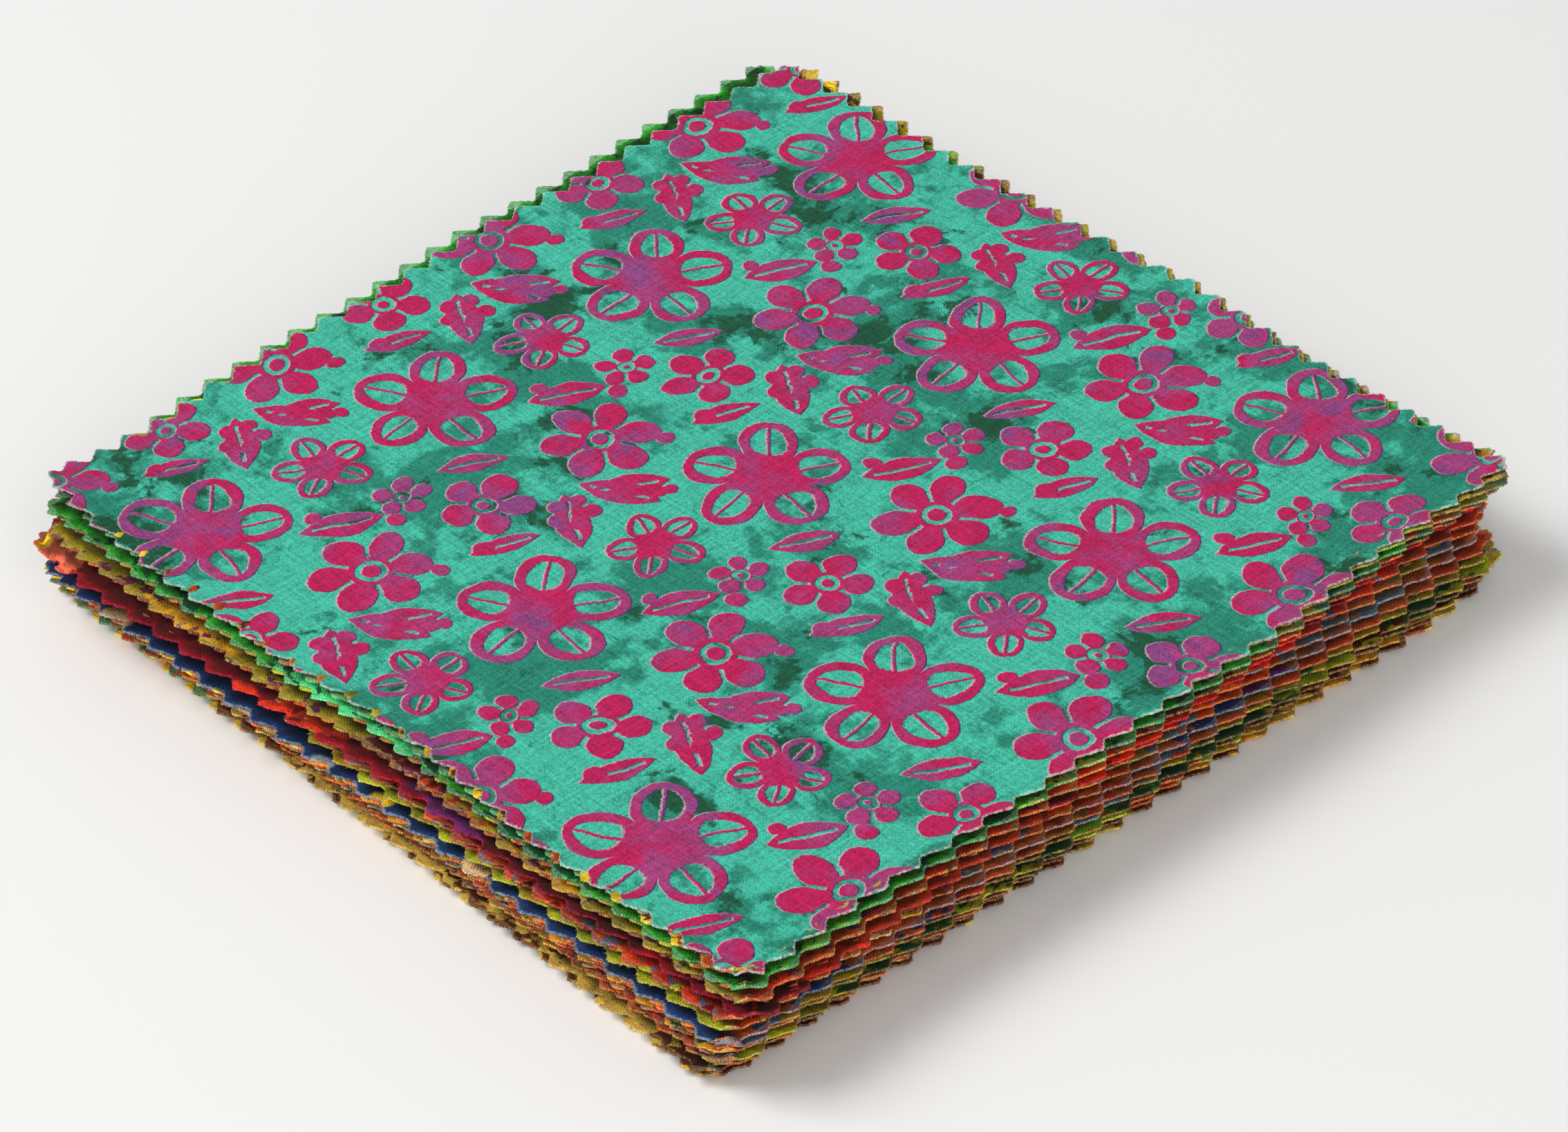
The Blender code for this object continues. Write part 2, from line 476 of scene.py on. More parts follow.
# The cloth close up, in millimetres: a pale cut edge, a fringe of combed threads along it,
# then the weave, with thicker yarns and specks of light and dark in it
THREAD = 0.22
CUT_FROM, CUT_TO, CUT_WANDER = 0.3, -0.1, 1.2
FRINGE_FROM, FRINGE_TO, FRINGE_WANDER = 1.1, 0.4, 0.8
FRINGE_DEPTH, FRINGE_MEAN = 1.3, 0.45
LINT_SIZE, LINT_ROUGHNESS = 0.35, 0.6
WOBBLE_SIZE, WOBBLE = 6.0, 0.8
SIDE_CHANGE = 0.5
SLUB_SIZE, SLUB_STRETCH, SLUB_LIGHT, SLUB_RELIEF = 0.4, 0.08, 0.7, 0.6
SALT_SIZE, SALT_LIGHT = 0.3, 1.1
LEAST_LIGHT = 0.15
COTTON_ROUGHNESS, WEAVE_GLOSS = 0.95, 0.15
BUMP_STRENGTH, BUMP_HEIGHT = 0.8, 0.00007
COTTON_SPECULAR, COTTON_SHEEN, SHEEN_ROUGHNESS = 0.12, 0.06, 0.5
PRINT_WEAVE = 0.7
WOBBLE_SEED, LINT_SEED, SALT_SEED = 20, 40, 60


def flat_places(shader):
    """The cloth's own places, in millimetres from its middle."""
    unwrapped = Wire(shader.inputs[0]).node("UVMap", {"uv_map": "UVMap"}, {})
    middle = (-HALF / MM, -HALF / MM, 0.0)
    size = (SIDE / MM, SIDE / MM, 0.0)
    return unwrapped.vector("MULTIPLY_ADD", size, middle)


def cut_distance(places):
    """Millimetres from the cut edge."""
    return places.node("Attribute", {"attribute_name": "from_cut"}, {}, 2)


def shifted(places, seed):
    return places.vector("ADD", (0.0, 0.0, seed))


def finish_cotton(shader, places, colour, pale, pale_share, seed, contrast):
    """Weave, pale cut edge and surface, as every printed cotton square has them."""
    u, v = places.parts()
    from_cut = cut_distance(places)
    lint = shifted(places, seed + LINT_SEED).noise(LINT_SIZE, 2.0, LINT_ROUGHNESS) - 0.5
    cut = (from_cut + lint * CUT_WANDER).ramp(CUT_FROM, CUT_TO) * pale_share
    colour = cut.blend(colour, pale)

    wobble = shifted(places, seed + WOBBLE_SEED).noise(WOBBLE_SIZE, 1.0) * WOBBLE
    warp = ((u + wobble) * (math.pi / THREAD)).math("SINE")
    weft = ((v + wobble) * (math.pi / THREAD)).math("SINE")
    at_end = (abs(v) - abs(u)).ramp(-SIDE_CHANGE, SIDE_CHANGE)
    combed = abs(weft) + (abs(warp) - abs(weft)) * at_end
    fringe = (from_cut + lint * FRINGE_WANDER).ramp(FRINGE_FROM, FRINGE_TO)
    weave = warp * weft * (1 - fringe) + (combed - FRINGE_MEAN) * (fringe * FRINGE_DEPTH)
    yarns = places.vector("MULTIPLY", (1.0, SLUB_STRETCH, 1.0)).noise(SLUB_SIZE, 1.0)
    cross_yarns = places.vector("MULTIPLY", (SLUB_STRETCH, 1.0, 1.0)).noise(SLUB_SIZE, 1.0)
    slub = yarns + cross_yarns - 1.0
    salt = shifted(places, seed + SALT_SEED).noise(SALT_SIZE, 1.0) - 0.5
    light = weave * contrast + slub * SLUB_LIGHT + salt * SALT_LIGHT + 1.0
    lit = colour.scaled(light.math("MAXIMUM", LEAST_LIGHT))
    rough = COTTON_ROUGHNESS - abs(weave) * WEAVE_GLOSS
    relief = abs(weave) + slub * SLUB_RELIEF + salt
    bump = weave.node(
        "Bump", {}, {"Strength": BUMP_STRENGTH, "Distance": BUMP_HEIGHT, "Height": relief}
    )
    for socket, wire in (("Base Color", lit), ("Roughness", rough), ("Normal", bump)):
        shader.id_data.links.new(wire.socket, shader.inputs[socket])
    shader.inputs["Specular IOR Level"].default_value = COTTON_SPECULAR
    shader.inputs["Sheen Weight"].default_value = COTTON_SHEEN
    shader.inputs["Sheen Roughness"].default_value = SHEEN_ROUGHNESS


# A printed cloth: its few dyes at the front and at the right side, the main one first, the
# pale colour of its cut edge, what blots and single spots lie over the dyes, and the dye of
# its left side and those of the left end of its front, where they are others
Print = namedtuple(
    "Print",
    "front right pale pale_share blots blot_size spots left left_end",
    defaults=(None, 0.0, (), None, None),
)
Spot = namedtuple("Spot", "x y radius dye")
OWN_SEED, BLOT_SEED, SHADE_SEED = 3.7, 9.0, 15.0
RAGGED_SIZE, RAGGED = 3.5, 2.4
PATCH_JUMBLE, PATCH_EDGE = 1.4, 0.05
STRETCHES, END_STRETCHES, MAIN_SHARE = 14, 4, 0.5
CORNER_JUMBLE, CORNER_CHANGE = 3.0, 1.0
BLOT_FROM, BLOT_TO = 0.55, 0.59
SPOT_RAGGED, SPOT_EDGE = 0.3, 0.3
# Painted shade: the printed cottons are darkened from 0.2 to 2 mm in from the cut edge, standing
# in for the shade under the square above; in millimetres and shares of the colour
INWARD_SHADE_FROM, INWARD_SHADE_TO, INWARD_SHADE_RANGE, INWARD_SHADE_LEAST = 2.0, 0.2, 0.75, 0.45
SHADE_SIZE, SHADE_FROM, SHADE_TO, SHADE_RANGE, SHADE_LEAST = 4.0, 0.3, 0.65, 0.75, 0.42


def length(x, y):
    """How long a step is, from its x and y wires."""
    return (x * x + y * y).math("SQRT")


def dealt(chance, dyes, count):
    """A chance order of a few dyes, in which the first has half of the stretches."""
    main, *others = dyes.split()
    if not others:
        return [main] * count
    shares = [MAIN_SHARE] + [(1 - MAIN_SHARE) / len(others)] * len(others)
    return list(chance.choice([main, *others], count, p=shares))


def patches(along, dyes, ragged):
    """Patches of dye that follow each other along a side of the square."""
    step = (along / (SIDE / MM) + 0.5) * len(dyes) + ragged
    colour = DYES[dyes[0]]
    for count, tint in enumerate(dyes[1:], start=1):
        if tint != dyes[count - 1]:
            past = step.ramp(count - PATCH_EDGE, count + PATCH_EDGE)
            colour = past.blend(colour, DYES[tint])
    return colour


def printed(name, look, seed):
    """Cotton with a blotted print, whose dyes change along its sides by chance.

    The left side goes on with the front's dyes and the back with those of the right.
    """
    material, shader = new_material(name)
    places = flat_places(shader)
    u, v = places.parts()
    own = shifted(places, seed * OWN_SEED)
    ragged = (own.noise(RAGGED_SIZE, 3.0, 0.6) - 0.5) * RAGGED
    at_right = (u + v + ragged * CORNER_JUMBLE).ramp(-CORNER_CHANGE, CORNER_CHANGE)
    at_side = (abs(u) - abs(v)).ramp(-SIDE_CHANGE, SIDE_CHANGE)
    along = u + (v - u) * at_side
    chance = np.random.default_rng(seed)
    front_order = dealt(chance, look.left_end or look.front, END_STRETCHES)
    front_order += dealt(chance, look.front, STRETCHES - END_STRETCHES)
    front = patches(along, front_order, ragged * PATCH_JUMBLE)
    if look.left:
        front = at_side.blend(front, DYES[look.left])
    right_order = dealt(chance, look.right, STRETCHES)
    right = patches(along, right_order, ragged * PATCH_JUMBLE)
    colour = at_right.blend(front, right)
    if look.blots:
        blots = shifted(own, BLOT_SEED).noise(look.blot_size, 4.0, 0.6, 0.6)
        colour = blots.ramp(BLOT_FROM, BLOT_TO).blend(colour, DYES[look.blots])
    for spot in look.spots:
        away = length(u - spot.x, v - spot.y) + ragged * (spot.radius * SPOT_RAGGED)
        inside = away.ramp(spot.radius + SPOT_EDGE, spot.radius - SPOT_EDGE)
        colour = inside.blend(colour, DYES[spot.dye])
    # Painted shade: darker further in from the cut edge, where the overhang of the square above
    # would shade the cloth, brighter at the edge
    inward_shade = cut_distance(places).ramp(INWARD_SHADE_FROM, INWARD_SHADE_TO) * INWARD_SHADE_RANGE + INWARD_SHADE_LEAST
    shade = shifted(own, SHADE_SEED).noise(SHADE_SIZE, 4.0, 0.6).ramp(SHADE_FROM, SHADE_TO)
    colour = colour.scaled((shade * SHADE_RANGE + SHADE_LEAST) * inward_shade)
    finish_cotton(shader, places, colour, DYES[look.pale], look.pale_share, seed, PRINT_WEAVE)
    return material


ochre_print = Print(
    front="ochre brown", left_end="sea orange red yellow",
    right="maroon rust brown olive gold",
    pale="cream", pale_share=0.3, blots="ochre", blot_size=8.0,
)
lay_square(
    "leaf_01_mustard",
    (CLOTH + LEAF_GAP) / LEAF_STEP,
    Square("ochre_square", -1.0, -0.9, -1.9, 0.0, 2.0, corner_tuck=5.0, front=0.5),
    printed("ochre_cotton", ochre_print, 1),
)
lay_square(
    "leaf_01_mustard",
    1,
    Square("second_ochre_square", -1.2, -1.3, -1.8, 0.0, 2.0, corner_tuck=5.0, front=0.95),
    printed("second_ochre_cotton", ochre_print, 2),
)


# The second pair from below: ochre, rust and sea green cotton, dark green and lime at the
# right. Here, as higher up, the lower square of a pair is tucked in a little and lies half a
# tooth further along, so that its teeth fill the valleys of the upper one.
LOWER_TUCK = 0.8


def lay_pair(leaf, square, look, under, tuck=LOWER_TUCK, wrinkle=None):
    """Lay two squares of a leaf, each with its own print."""
    number = int(leaf.split("_")[1])
    lower = square._replace(
        name=square.name + "_lower",
        x=square.x - tuck,
        y=square.y + tuck,
        front=square.front + 0.5,
        cells=CELLS,
        cuts=RIM_CUTS,
    )
    lay_square(leaf, number - 0.5, lower, printed(lower.name, under, 2 * number - 1))
    lay_square(leaf, number, square, printed(square.name, look, 2 * number), wrinkle)


lay_pair(
    "leaf_02_slate",
    Square("sea_green_square", -0.5, -0.9, -1.1, 0.3, 0.6, corner_tuck=5.0, front=0.25),
    Print(
        front="rust ochre cream brown gold", left_end="orange red sea maroon",
        right="maroon dark_green lime grass rust",
        pale="pale_gold", pale_share=0.35, blots="brown", blot_size=4.0,
    ),
    under=Print(
        front="rust ochre gold", left_end="sea yellow red",
        right="rust olive maroon dark_green orange",
        pale="cream", pale_share=0.5, blots="rust", blot_size=4.0,
    ),
)


# The third pair: maroon and dark wine cotton with gold and orange at the front, and with
# dark green and lime at the right. The lower one has grey-blue thread ends.
lay_pair(
    "leaf_03_maroon",
    Square("maroon_square", 0.2, -1.3, -0.9, 0.2, 0.0, corner_tuck=5.0, front=0.0),
    Print(
        front="rust gold orange maroon slate", left_end="maroon red sea",
        right="dark_green maroon grass lime green",
        pale="pale_rust", pale_share=0.35, blots="olive", blot_size=3.0,
    ),
    under=Print(
        front="gold orange brown vermilion", left_end="rust sea orange",
        right="maroon olive rust lime navy",
        pale="pale_blue", pale_share=0.5, blots="maroon", blot_size=4.0,
    ),
)


# The fourth pair: gold, orange and navy cotton at the front, olive and dark green at the
# right. Both are drawn in a little at the left and right corners.
lay_pair(
    "leaf_04_lime",
    Square("lime_square", -0.2, -1.7, -0.7, 0.8, 0.4, corner_tuck=5.0, front=0.5),
    Print(
        front="gold rust orange navy slate", left_end="rust sea yellow",
        right="olive maroon brown green copper slate",
        pale="pale_gold", pale_share=0.35, blots="dark_green", blot_size=4.0,
    ),
    under=Print(
        front="rust navy sea cream", left_end="orange gold",
        right="navy rust olive copper slate",
        pale="pale_rust", pale_share=0.35, blots="brown", blot_size=4.0,
    ),
)


# The fifth pair: copper and rust cotton, with some lime along the front edge and slate
# blue among the copper at the right.
lay_pair(
    "leaf_05_rust",
    Square("copper_square", 0.3, -2.0, -0.3, 1.4, 1.0, corner_tuck=5.5, front=0.0),
    Print(
        front="rust orange gold copper lime", left_end="orange red sea",
        right="copper rust navy slate olive",
        pale="pale_rust", pale_share=0.35, blots="rust", blot_size=4.0,
    ),
    under=Print(
        front="gold vermilion orange slate", left_end="red yellow sea",
        right="slate olive navy rust copper",
        pale="pale_gold", pale_share=0.35, blots="navy", blot_size=4.0,
    ),
)


# The sixth pair: navy cotton with pale flecks. Its zigzag is the strongest line of the
# front side, right under the crimson overhang; at the right it turns to slate and copper.
lay_pair(
    "leaf_06_navy",
    Square("navy_square", 0.1, -3.5, 0.1, 1.8, 1.4, corner_tuck=6.0, front=0.5),
    Print(
        front="navy",
        right="copper slate rust purple navy",
        pale="pale_blue", pale_share=0.6,
        spots=(
            Spot(-43.0, -62.0, 2.2, "cream"),
            Spot(-18.0, -63.5, 0.8, "white"),
            Spot(-5.0, -62.5, 1.4, "pale_blue"),
            Spot(5.0, -62.0, 1.6, "yellow"),
            Spot(21.0, -62.0, 2.2, "cream"),
        ),
    ),
    under=Print(
        front="orange red gold cream", left_end="yellow red sea",
        right="slate rust navy copper maroon",
        pale="pale_gold", pale_share=0.35, blots="rust", blot_size=3.0,
    ),
)


# The seventh pair: cotton with a lime rim, which makes a thin bright zigzag over the navy.
# Its front edge is tucked in at the left; at the right it is slate and copper.
lay_pair(
    "leaf_07_fern",
    Square(
        "lime_line_square", -0.3, -2.8, 0.2, 1.6, 1.0, corner_tuck=6.0, front=0.5, front_tuck=2.8
    ),
    Print(
        front="lime", left_end="navy olive",
        right="slate copper rust cream navy",
        pale="pale_gold", pale_share=0.35, blots="olive", blot_size=5.0,
    ),
    under=Print(
        front="rust olive slate", left_end="navy",
        right="rust brown copper navy olive",
        pale="pale_rust", pale_share=0.35, blots="rust", blot_size=4.0,
    ),
    tuck=2.0,
)


# The eighth pair: orange red cotton with small grey-blue spots, tucked in under the
# overhang at the left of the front edge.
lay_pair(
    "leaf_08_orange",
    Square(
        "spotted_orange_square", -0.5, -2.7, 0.3, 1.6, 0.6, corner_tuck=4.5, front=0.0,
        front_tuck=2.4,
    ),
    Print(
        front="vermilion orange rust red", left_end="crimson orange",
        right="vermilion orange maroon rust gold",
        pale="pale_rust", pale_share=0.35, blots="slate", blot_size=2.5,
    ),
    under=Print(
        front="olive lime crimson", left_end="crimson sea",
        right="rust vermilion orange maroon gold",
        pale="pale_rust", pale_share=0.35, blots="maroon", blot_size=3.0,
    ),
)


# The ninth pair: plain crimson cotton. The upper square is turned the most, so it stands
# out by some 5 mm at the left of the front edge, where its creased corner turns to salmon
# and orange.
FINE_CELLS, FINE_CUTS = 81, 6
CREASE_PLACE, CREASE_WIDTH, CREASE_REACH = -0.058, 0.008, 0.010
CREASE_PITCH, CREASE_SLANT = 0.0028, 0.003
CREASE_HEIGHT = 0.0006


def creased_corner(x, y):
    """Creases that run along the front edge, near the left corner."""
    near = np.exp(-(((x - CREASE_PLACE) / CREASE_WIDTH) ** 2)) * fade(y + HALF, CREASE_REACH)
    fold = np.sin(2 * math.pi * y / CREASE_PITCH + x / CREASE_SLANT)
    return near * (CREASE_HEIGHT * fold + CREASE_HEIGHT)


lay_pair(
    "leaf_09_crimson",
    Square(
        "crimson_square", 0.2, -3.3, 1.9, 1.6, 0.0, corner_tuck=4.0, front=0.62,
        cells=FINE_CELLS, cuts=FINE_CUTS,
    ),
    Print(
        front="crimson maroon vermilion purple", left_end="crimson",
        right="maroon orange vermilion red rust",
        pale="pink", pale_share=0.4,
        spots=(
            Spot(-60.0, -62.0, 7.5, "salmon"),
            Spot(-62.5, -61.5, 2.0, "yellow"),
            Spot(-63.0, -64.5, 2.5, "orange"),
            Spot(-20.0, -63.5, 2.2, "vermilion"),
        ),
    ),
    under=Print(
        front="crimson lime vermilion rust", left_end="crimson",
        right="maroon red brown orange lime",
        pale="pale_rust", pale_share=0.35, blots="olive", blot_size=2.5,
    ),
    tuck=2.0,
    wrinkle=creased_corner,
)


# The tenth pair: olive and gold cotton with small plum blots, red and maroon at the right.
# Its left corner is drawn in the most.
lay_pair(
    "leaf_10_olive",
    Square("olive_square", 0.3, -1.95, 0.85, 3.0, 0.2, corner_tuck=4.5, front=0.21),
    Print(
        front="olive gold rust maroon",
        right="vermilion maroon red rust grass",
        pale="pale_gold", pale_share=0.35, blots="plum", blot_size=2.5,
    ),
    under=Print(
        front="maroon plum rust olive copper",
        right="rust red lime maroon green",
        pale="pale_rust", pale_share=0.35, blots="gold", blot_size=2.5,
    ),
)


# The eleventh pair: bright green cotton with dark green blots and mint cut edges, over one
# in rust and olive. Only their teeth show under the top three.
lay_pair(
    "leaf_11_green",
    Square("bright_green_square", 0.4, -0.9, 0.1, 1.7, 0.0, corner_tuck=2.5, front=0.27),
    Print(
        front="green dark_green grass mint",
        right="green olive dark_green grass rust lime",
        pale="pale_mint", pale_share=0.4, blots="dark_green", blot_size=3.0,
    ),
    under=Print(
        front="rust brown olive maroon lime",
        right="olive rust green dark_green",
        pale="pale_gold", pale_share=0.35, blots="grass", blot_size=3.0,
    ),
)


# The two cotton squares right under the top one are turned against each other. The green
# one stands out on the left side, the olive one at the back corner. They lift with the top
# square at its two curled corners, and the tip of the left one flops down again.
FLOP, FLOP_REACH = 0.0017, 0.009


def flopped_corner(x, y):
    return -FLOP * nearness(x, y, LEFT_CORNER, FLOP_REACH)


green_print = Print(
    front="green olive brown rust mint",
    right="green olive rust brown gold lime",
    pale="pale_mint", pale_share=0.5, blots="dark_green", blot_size=3.0, left="green",
)
lay_square(
    "leaf_12_teal",
    11.36,
    Square(
        "striped_green_square", -2.1, -0.1, 1.15, 2.2, 0.0, corner_tuck=4.0, front=0.0,
        left=0.0, front_tuck=2.0, left_curl=1.6, right_curl=0.3,
    ),
    printed("striped_green_cotton", green_print, 27),
    flopped_corner,
)
olive_print = Print(
    front="rust gold brown yellow olive",
    right="olive green brown grass dark_green yellow",
    pale="pale_gold", pale_share=0.35, blots="brown", blot_size=3.0,
)
lay_square(
    "leaf_12_teal",
    11.68,
    Square(
        "olive_under_square", -0.5, 0.65, -0.95, 2.2, 0.7, corner_tuck=3.0, front=0.5,
        side_tuck=1.6, left_curl=2.5, right_curl=0.6,
    ),
    printed("olive_under_cotton", olive_print, 28),
    flopped_corner,
)


# The top square: mottled teal cotton, printed in magenta with ordinary blossoms, leaves
# and dots in half-drop rows. The magenta is printed a little off its white ground.
TOP_CELLS, TOP_CUTS = 108, 4
REPEAT_WIDE, REPEAT_HIGH = 40.0, 36.0
MISPRINT_X, MISPRINT_Y = 0.15, 0.09
Blossom = namedtuple("Blossom", "x y radius petals turn open")
BLOSSOMS = [
    Blossom(0.0, 0.0, 10.6, 5, 10, True),
    Blossom(20.0, 9.0, 7.6, 6, 0, False),
    Blossom(20.0, -9.0, 5.8, 5, 30, False),
    Blossom(0.0, 18.0, 6.2, 5, 50, True),
    Blossom(11.5, -15.0, 3.8, 5, 0, False),
    Blossom(-11.5, 15.0, 3.6, 5, 20, False),
]
Leaflet = namedtuple("Leaflet", "x y length width turn")
LEAFLETS = [
    Leaflet(10.5, 12.5, 5.0, 2.2, 65),
    Leaflet(-10.5, -12.5, 5.0, 2.2, 60),
    Leaflet(12.7, -5.2, 4.6, 1.7, 60),
    Leaflet(-12.7, 5.2, 4.6, 1.7, 70),
    Leaflet(29.5, 3.8, 5.4, 2.2, 25),
    Leaflet(29.5, -4.0, 5.4, 2.2, -30),
]
Dot = namedtuple("Dot", "x y radius")
DOTS = [
    Dot(7.2, 10.8, 1.1),
    Dot(-7.2, -10.8, 1.1),
    Dot(26.0, -15.0, 1.4),
    Dot(14.5, 17.5, 1.3),
    Dot(-14.6, -3.2, 1.1),
    Dot(33.5, 8.5, 1.0),
]

# The blossoms' petals, windows, slits and ring, as shares of the radius, and the leaflets'
# veins; lines are in millimetres
PETAL_ROUNDNESS, PETAL_SHARE, HEART_SHARE = 0.6, 0.55, 0.45
WINDOW_PLACE, WINDOW_LENGTH, WINDOW_WIDTH = 0.64, 0.25, 0.19
WINDOW_VEIN, SLIT, SLIT_START = 0.22, 0.25, 0.36
RING_PLACE, RING_WIDTH = 0.2, 0.35
LEAFLET_VEIN, VEIN_SHARE = 0.22, 0.7

# Teal dyes and their dark clouds, magenta inks, the bare cloth at the ink's edge, and the
# dark line where the ink has run over the teal
TEAL, DEEP_TEAL, TEAL_SPECK, GREEN_CLOUD = (
    dye(72, 198, 170), dye(40, 142, 118), dye(30, 120, 100), dye(22, 82, 52)
)
MAGENTA, FADED_MAGENTA, DARK_MAGENTA = dye(200, 28, 92), dye(172, 66, 128), dye(135, 75, 140)
BARE_CLOTH, INK_ON_TEAL = dye(215, 175, 185), dye(70, 50, 100)
PRINT_DRIFT_SIZE, PRINT_DRIFT = 9.0, 2.2
GRAIN_SIZE, GRAIN = 0.5, 0.5
INK_EDGE = 0.1
SPECK_SHARE, CLOUD_SHARE, INK_CLOUD_SHARE = 0.5, 0.92, 0.7
TOP_PALE_SHARE, TOP_WEAVE = 0.65, 0.14


def repeated(u, v, motif):
    """Millimetres from the nearest place of a motif in the half-drop repeat."""
    du = (u - motif.x).math("WRAP", REPEAT_WIDE / 2, -REPEAT_WIDE / 2)
    drop = (u - motif.x - du) * (REPEAT_HIGH / REPEAT_WIDE / 2)
    dv = (v - motif.y + drop).math("WRAP", REPEAT_HIGH / 2, -REPEAT_HIGH / 2)
    return du, dv


def blossom_edge(du, dv, motif):
    """Under 0 on the ink of a blossom; its petals are open outlines or solid."""
    away = length(du, dv)
    around = dv.math("ARCTAN2", du) + math.radians(motif.turn)
    petal = abs((around * (motif.petals / 2)).math("COSINE"))
    outline = petal.math("POWER", PETAL_ROUNDNESS) * PETAL_SHARE + HEART_SHARE
    edge = away - outline * motif.radius
    if motif.open:
        half_width = WINDOW_WIDTH * motif.radius
        across = away * (1 - petal * petal).math("SQRT") * (2 / motif.petals)
        along = (away / motif.radius - WINDOW_PLACE) / WINDOW_LENGTH
        window = (1 - length(along, across / half_width)) * half_width
        return edge.math("MAXIMUM", window.math("MINIMUM", across - WINDOW_VEIN))
    slit = SLIT - away * petal * (2 / motif.petals)
    slit = slit.math("MINIMUM", away - SLIT_START * motif.radius)
    ring = RING_WIDTH - abs(away - RING_PLACE * motif.radius)
    return edge.math("MAXIMUM", slit).math("MAXIMUM", ring)


def leaflet_edge(du, dv, motif):
    turn = math.radians(motif.turn)
    along = du * math.cos(turn) + dv * math.sin(turn)
    across = abs(dv * math.cos(turn) - du * math.sin(turn))
    edge = across - (1 - (along / motif.length).math("POWER", 2.0)) * motif.width
    vein = (LEAFLET_VEIN - across).math("MINIMUM", VEIN_SHARE * motif.length - abs(along))
    return edge.math("MAXIMUM", vein)


def dot_edge(du, dv, motif):
    return length(du, dv) - motif.radius


def union(wires):
    whole = wires[0]
    for wire in wires[1:]:
        whole = whole.math("MINIMUM", wire)
    return whole


def teal_ground(places, cloud, dark):
    """Teal cotton, dyed in clouds, with small deep specks."""
    fine = shifted(places, 23.0).noise(3.2, 5.0, 0.65, 0.4)
    mottle = (cloud + (fine - 0.5) * 0.35).ramp(0.47, 0.56)
    ground = mottle.blend(TEAL, DEEP_TEAL)
    ground = (fine.ramp(0.62, 0.68) * SPECK_SHARE).blend(ground, TEAL_SPECK)
    return (dark * CLOUD_SHARE).blend(ground, GREEN_CLOUD)


def magenta_ink(places, cloud, dark):
    """Magenta that fades to mauve in places, and takes on the dark of the clouds."""
    faded = cloud * 0.5 + shifted(places, 37.0).noise(7.0, 4.0, 0.6) * 0.5
    magenta = faded.ramp(0.44, 0.58).blend(MAGENTA, FADED_MAGENTA)
    return (dark * INK_CLOUD_SHARE).blend(magenta, DARK_MAGENTA)


def blossom_cotton(name, seed):
    material, shader = new_material(name)
    places = flat_places(shader)
    u, v = places.parts()
    u = u + (places.noise(PRINT_DRIFT_SIZE, 2.0) - 0.5) * PRINT_DRIFT
    v = v + (shifted(places, 5.0).noise(PRINT_DRIFT_SIZE, 2.0) - 0.5) * PRINT_DRIFT
    ink_edges, ground_edges = [], []
    groups = ((BLOSSOMS, blossom_edge), (LEAFLETS, leaflet_edge), (DOTS, dot_edge))
    for motifs, edge_of in groups:
        for motif in motifs:
            du, dv = repeated(u, v, motif)
            ink_edges.append(edge_of(du, dv, motif))
            ground_edges.append(edge_of(du + MISPRINT_X, dv + MISPRINT_Y, motif))
    grain = (shifted(places, 11.0).noise(GRAIN_SIZE, 2.0, 0.6) - 0.5) * GRAIN
    ink = (union(ink_edges) + grain).ramp(INK_EDGE, -INK_EDGE)
    bare = (union(ground_edges) + grain).ramp(INK_EDGE, -INK_EDGE)

    cloud = shifted(places, 17.0).noise(17.0, 7.0, 0.62, 0.3)
    dark = shifted(places, 31.0).noise(12.0, 8.0, 0.7, 0.4) + (cloud - 0.5) * 0.7
    dark = dark.ramp(0.59, 0.64)
    colour = bare.blend(teal_ground(places, cloud, dark), BARE_CLOTH)
    printed_ink = bare.blend(INK_ON_TEAL, magenta_ink(places, cloud, dark))
    colour = ink.blend(colour, printed_ink)
    finish_cotton(shader, places, colour, DYES["white"], TOP_PALE_SHARE, seed, TOP_WEAVE)
    return material


lay_square(
    "leaf_12_teal",
    LEAVES,
    Square(
        "teal_top_square", 0.0, 0.0, 0.0, 2.2, 0.7, corner_tuck=1.5, front=0.5,
        left_curl=3.4, right_curl=1.0, cells=TOP_CELLS, cuts=TOP_CUTS,
    ),
    blossom_cotton("teal_blossom_print", 41),
    flopped_corner,
)


# Last, every square gets its thickness, and the cut ends of its threads. They are the warp
# and weft that the cutter left loose, thin spikes here, joined to the square.
STUBS = 4000
STUB_WIDTH = 0.00006
STUB_ROOT = 0.0001
STUB_SHORTEST, STUB_SPREAD = 0.00020, 0.00035
STUB_SWAY, STUB_DOWN, STUB_UP = 0.6, -0.4, 0.3
COS_60, SIN_60 = 0.5, 0.87
SMOOTH_BELOW = 35


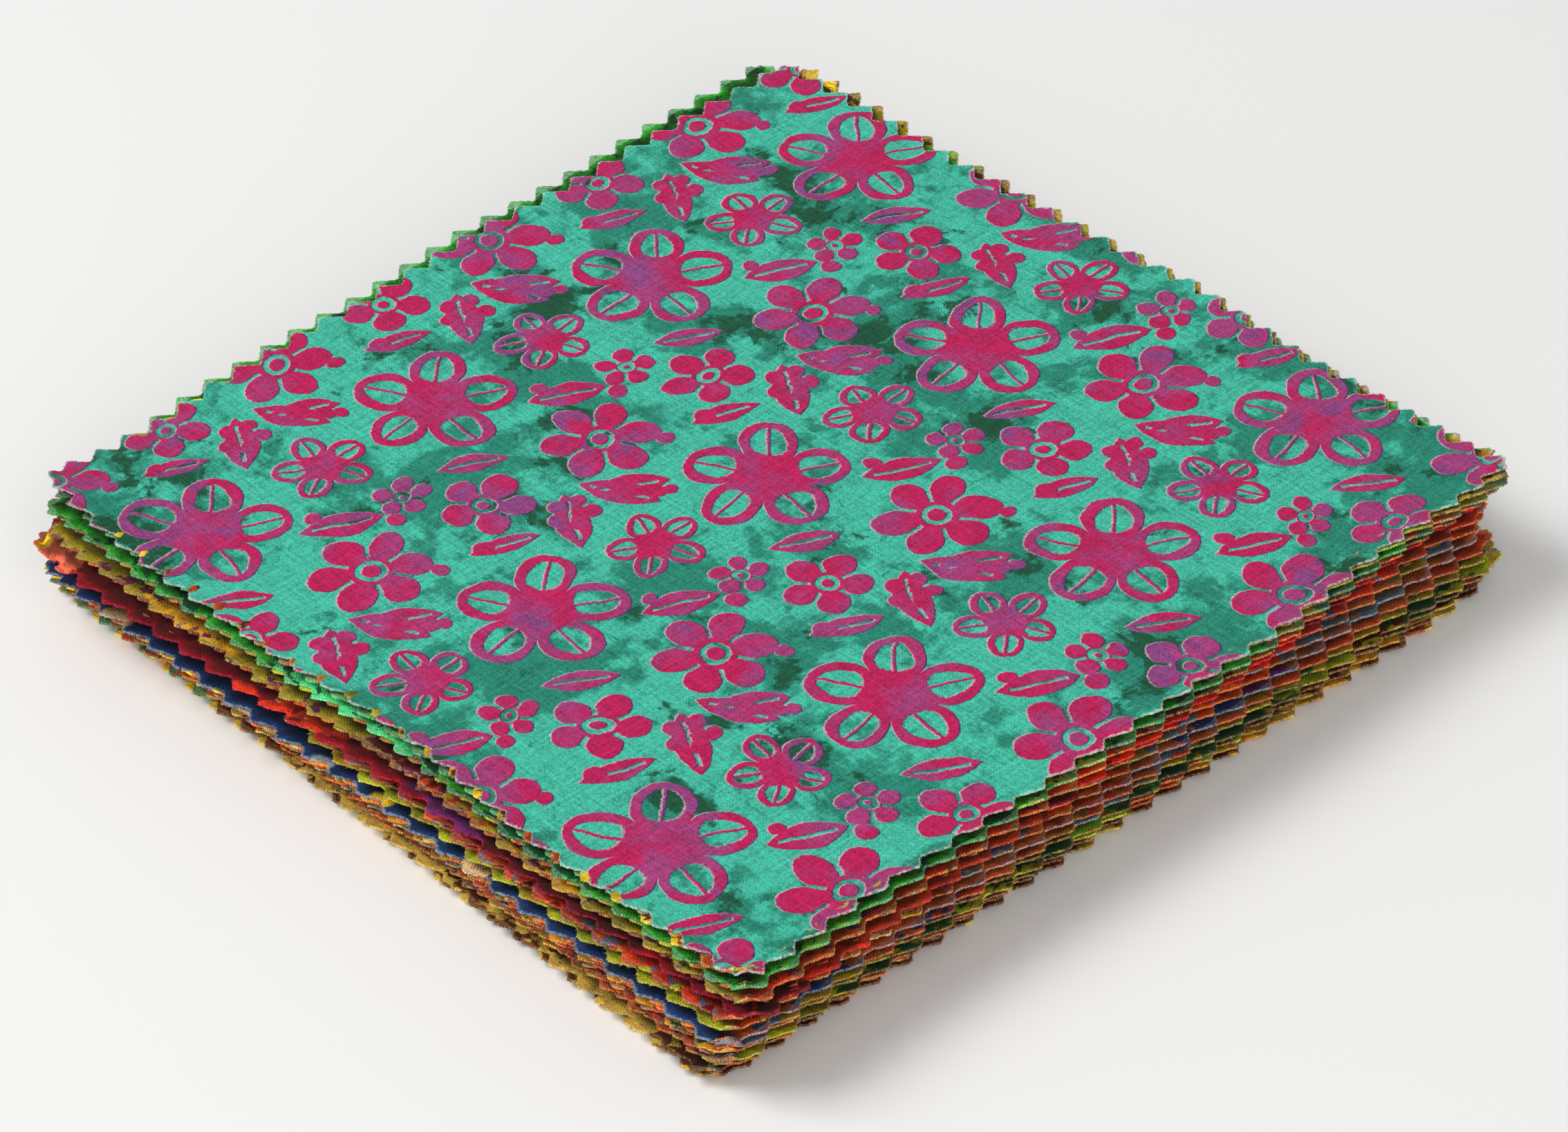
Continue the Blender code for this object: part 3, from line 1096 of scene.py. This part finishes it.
def cut_threads(laid, places):
    """Thread ends along the cut, as one mesh of thin spikes with the cloth's own UVs."""
    rim = np.flatnonzero(abs(laid.outward).sum(1) > 0)
    chosen = seeded.choice(rim, min(STUBS, len(rim)), replace=False)
    flat = laid.flat[chosen]
    out = np.zeros((len(chosen), 3))
    out[:, :2] = laid.outward[chosen]
    out[:, :2] += seeded.uniform(-STUB_SWAY, STUB_SWAY, (len(chosen), 2))
    out[:, 2] = seeded.uniform(STUB_DOWN, STUB_UP, len(chosen))
    out /= np.linalg.norm(out, axis=1)[:, None]
    reach = STUB_SHORTEST + STUB_SPREAD * seeded.random(len(chosen)) ** 2
    side = np.stack([-out[:, 1], out[:, 0], 0 * reach], 1)
    side /= np.linalg.norm(side, axis=1)[:, None]
    over = np.cross(side, out)
    root = places[chosen] - out * STUB_ROOT - np.array([0, 0, CLOTH / 2])
    spikes = np.stack(
        [
            root + side * STUB_WIDTH,
            root - side * STUB_WIDTH * COS_60 + over * STUB_WIDTH * SIN_60,
            root - side * STUB_WIDTH * COS_60 - over * STUB_WIDTH * SIN_60,
            root + out * reach[:, None],
        ],
        1,
    ).reshape(-1, 3)
    faces = []
    for start in range(0, len(spikes), 4):
        a, b, c, tip = start, start + 1, start + 2, start + 3
        faces += [(a, c, b), (a, b, tip), (b, c, tip), (c, a, tip)]
    mesh = bpy.data.meshes.new("cut_threads")
    mesh.from_pydata(spikes.tolist(), [], faces)
    unwrap(mesh, np.repeat(flat, 4, axis=0))
    mesh.materials.append(laid.piece.data.materials[0])
    threads = bpy.data.objects.new("cut_threads", mesh)
    bpy.context.scene.collection.objects.link(threads)
    return threads


for laid in pile:
    points = points_of(laid.piece.data)
    bm = bmesh.new()
    bm.from_mesh(laid.piece.data)
    bmesh.ops.triangulate(bm, faces=bm.faces[:])
    bm.to_mesh(laid.piece.data)
    bm.free()
    thickness = laid.piece.modifiers.new("thickness", "SOLIDIFY")
    thickness.thickness = CLOTH
    thickness.offset = -1.0
    bpy.ops.object.select_all(action="DESELECT")
    laid.piece.select_set(True)
    bpy.context.view_layer.objects.active = laid.piece
    bpy.ops.object.modifier_apply(modifier="thickness")
    bpy.ops.object.shade_smooth_by_angle(angle=math.radians(SMOOTH_BELOW))
    threads = cut_threads(laid, points)
    threads.select_set(True)
    bpy.ops.object.join()
